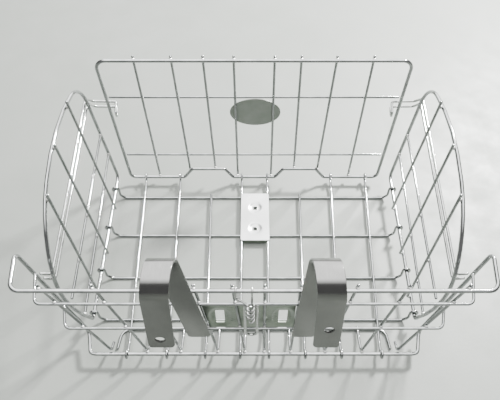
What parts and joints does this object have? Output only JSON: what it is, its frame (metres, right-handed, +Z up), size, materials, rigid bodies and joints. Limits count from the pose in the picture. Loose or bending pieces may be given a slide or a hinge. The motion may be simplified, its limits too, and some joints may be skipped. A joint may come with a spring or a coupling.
{
  "type": "handlebar basket",
  "caption": "Folding wire basket that hangs from a bicycle handlebar by two strap hooks, with hinged floor, sides and front held by spring-wire latches.",
  "frame": {"origin": "centre of the footprint at the level the floor wires stand on", "axes": "+X to the right as seen by the rider, +Y away from the rider (the front of the basket), +Z up"},
  "size_m": [0.4186, 0.2944, 0.2225],
  "materials": {
    "wire": "bright zinc-plated round wire",
    "strap": "satin plated flat strap",
    "plate": "satin plated sheet",
    "spring": "bright spring wire"
  },
  "bodies": {
    "back_panel": {"back_frame_wire": "wire", "back_cross_wire_upper": "wire", "back_cross_wire_lower": "wire", "back_ledge_rail": "wire", "back_upright_01": "wire", "back_upright_02": "wire", "back_upright_03": "wire", "back_upright_04": "wire", "back_upright_05": "wire", "back_upright_06": "wire", "back_upright_07": "wire", "back_upright_08": "wire", "back_upright_09": "wire", "back_upright_10": "wire", "bracket_plate": "plate", "hook_strap_left": "strap", "hook_strap_right": "strap"},
    "floor": {"floor_lateral_1": "wire", "floor_lateral_2": "wire", "floor_lateral_3": "wire", "floor_lateral_4": "wire", "floor_long_1": "wire", "floor_long_2": "wire", "floor_long_3": "wire", "floor_long_4": "wire", "floor_long_5": "wire", "floor_long_6": "wire", "floor_long_7": "wire", "floor_long_8": "wire", "floor_plate": "plate"},
    "left_side": {"left_side_frame": "wire", "left_side_long_upper": "wire", "left_side_long_lower": "wire", "left_latch_wire": "wire", "left_side_cross_1": "wire", "left_side_cross_2": "wire", "left_side_cross_3": "wire"},
    "right_side": {"right_side_frame": "wire", "right_side_long_upper": "wire", "right_side_long_lower": "wire", "right_latch_wire": "wire", "right_side_cross_1": "wire", "right_side_cross_2": "wire", "right_side_cross_3": "wire"},
    "front_panel": {"front_frame_wire": "wire", "front_cross_wire_1": "wire", "front_cross_wire_2": "wire", "front_oval_plate": "plate", "front_vertical_1": "wire", "front_vertical_2": "wire", "front_vertical_3": "wire", "front_vertical_4": "wire", "front_vertical_5": "wire", "front_vertical_6": "wire", "front_vertical_7": "wire", "front_vertical_8": "wire"},
    "spring": {"tension_spring": "spring"}
  },
  "joints": [
    {"name": "floor_fold", "type": "hinge", "parent": "back_panel", "child": "floor", "pos_m": [0, -0.102, 0.012], "axis": [1, 0, 0], "range_deg": [0, 7]},
    {"name": "left_side_fold", "type": "hinge", "parent": "floor", "child": "left_side", "pos_m": [-0.168, 0.028, 0.018], "axis": [0, 1, 0], "range_deg": [0, 86], "deforming": ["left_latch_wire"]},
    {"name": "right_side_fold", "type": "hinge", "parent": "floor", "child": "right_side", "pos_m": [0.168, 0.028, 0.018], "axis": [0, -1, 0], "range_deg": [0, 78], "deforming": ["right_latch_wire"]},
    {"name": "front_fold", "type": "hinge", "parent": "floor", "child": "front_panel", "pos_m": [0, 0.1305, 0.01], "axis": [-1, 0, 0], "range_deg": [-84, 0]},
    {"name": "spring_swing", "type": "hinge", "parent": "back_panel", "child": "spring", "pos_m": [0, -0.102, 0.148], "axis": [1, 0, 0], "range_deg": [-60, 0]}
  ]
}
